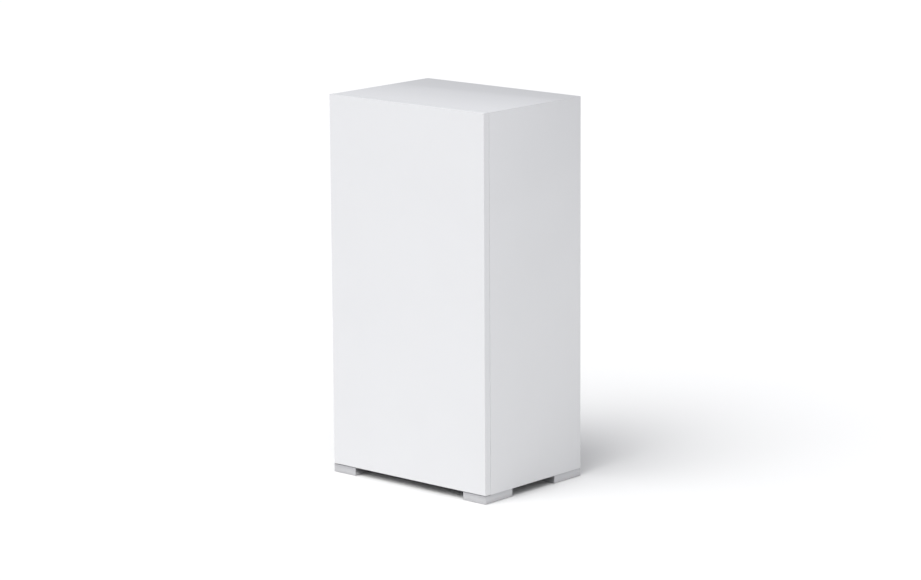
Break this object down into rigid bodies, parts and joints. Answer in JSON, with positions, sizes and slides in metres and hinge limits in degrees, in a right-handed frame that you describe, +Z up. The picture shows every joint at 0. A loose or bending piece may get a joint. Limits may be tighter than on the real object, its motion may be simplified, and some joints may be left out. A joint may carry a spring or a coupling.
{
  "type": "mini fridge",
  "caption": "Slim upright compact refrigerator: plain white box with a flush handleless slab door, shelves, door bins, chiller box, rear condenser and block feet.",
  "frame": {"origin": "centre of the base, at floor level", "axes": "+Z up, -Y is the door side, +X to the right of someone who faces the door"},
  "size_m": [0.446, 0.322, 0.85],
  "materials": {
    "white_enamel": "satin",
    "white_frame_enamel": "satin",
    "galvanised_sheet": "matte",
    "grey_back_sheet": "matte",
    "black_enamel": "satin",
    "brushed_foot_metal": "satin",
    "zinc_steel": "satin",
    "copper": "satin",
    "evaporator_aluminium": "satin",
    "white_liner_plastic": "satin",
    "white_moulded_plastic": "satin",
    "clear_bin_plastic": "gloss",
    "shelf_glass": "polished",
    "frosted_lens": "satin",
    "gasket_rubber": "matte",
    "black_rubber": "matte",
    "black_plastic": "matte",
    "grey_plastic": "matte",
    "nylon": "satin",
    "foam": "matte",
    "circuit_board": "satin"
  },
  "bodies": {
    "cabinet": {"left_side_panel": "white_enamel", "right_side_panel": "white_enamel", "top_panel": "white_enamel", "front_frame": "white_frame_enamel", "base_plate": "galvanised_sheet", "compressor_bay_shroud": "galvanised_sheet", "back_panel": "grey_back_sheet", "inner_liner": "white_liner_plastic", "insulation_foam": "foam", "front_left_foot": "brushed_foot_metal", "front_right_foot": "brushed_foot_metal", "rear_left_foot": "brushed_foot_metal", "rear_right_foot": "brushed_foot_metal", "foot_pads": "black_rubber", "foot_screws": "zinc_steel", "top_hinge_bracket": "zinc_steel", "top_hinge_screws": "zinc_steel", "hinge_pins": "zinc_steel", "hinge_thrust_washer": "nylon", "shelf_1_glass": "shelf_glass", "shelf_2_glass": "shelf_glass", "shelf_1_trim": "white_moulded_plastic", "shelf_2_trim": "white_moulded_plastic", "chiller_box": "evaporator_aluminium", "chiller_hangers": "white_moulded_plastic", "chiller_bezel": "white_moulded_plastic", "drip_tray": "clear_bin_plastic", "thermostat_housing": "white_moulded_plastic", "thermostat": "black_plastic", "lamp_lens": "frosted_lens", "lamp_board": "circuit_board", "compressor_shell": "black_enamel", "compressor_plate": "black_enamel", "compressor_grommets": "black_rubber", "compressor_bolts": "zinc_steel", "terminal_box": "black_plastic", "discharge_pipe": "copper", "condenser_tube": "black_enamel", "condenser_wires": "black_enamel", "condenser_brackets": "black_plastic", "filter_drier": "copper", "suction_pipe": "copper", "capillary_tube": "copper", "evaporation_pan": "black_plastic", "drain_tube": "grey_plastic", "inlet_bracket": "galvanised_sheet", "power_inlet": "black_plastic", "inlet_lead": "black_rubber"},
    "door": {"door_outer_panel": "white_enamel", "door_top_cap": "white_moulded_plastic", "door_bottom_cap": "white_moulded_plastic", "door_liner": "white_liner_plastic", "door_foam": "foam", "door_gasket": "gasket_rubber", "hinge_bushes": "nylon", "bottle_bin": "clear_bin_plastic", "middle_bin": "clear_bin_plastic", "upper_bin": "clear_bin_plastic"},
    "flap": {"chiller_flap": "white_moulded_plastic"},
    "knob": {"thermostat_knob": "grey_plastic"}
  },
  "joints": [
    {"name": "door_hinge", "type": "hinge", "parent": "cabinet", "child": "door", "pos_m": [-0.2165, -0.1545, 0.4345], "axis": [0, 0, -1], "range_deg": [0, 110]},
    {"name": "flap_hinge", "type": "hinge", "parent": "cabinet", "child": "flap", "pos_m": [-0.0325, -0.035, 0.799], "axis": [-1, 0, 0], "range_deg": [0, 80]},
    {"name": "knob_turn", "type": "hinge", "parent": "cabinet", "child": "knob", "pos_m": [0.157, -0.038, 0.774], "axis": [0, 1, 0], "range_deg": [0, 270]}
  ]
}
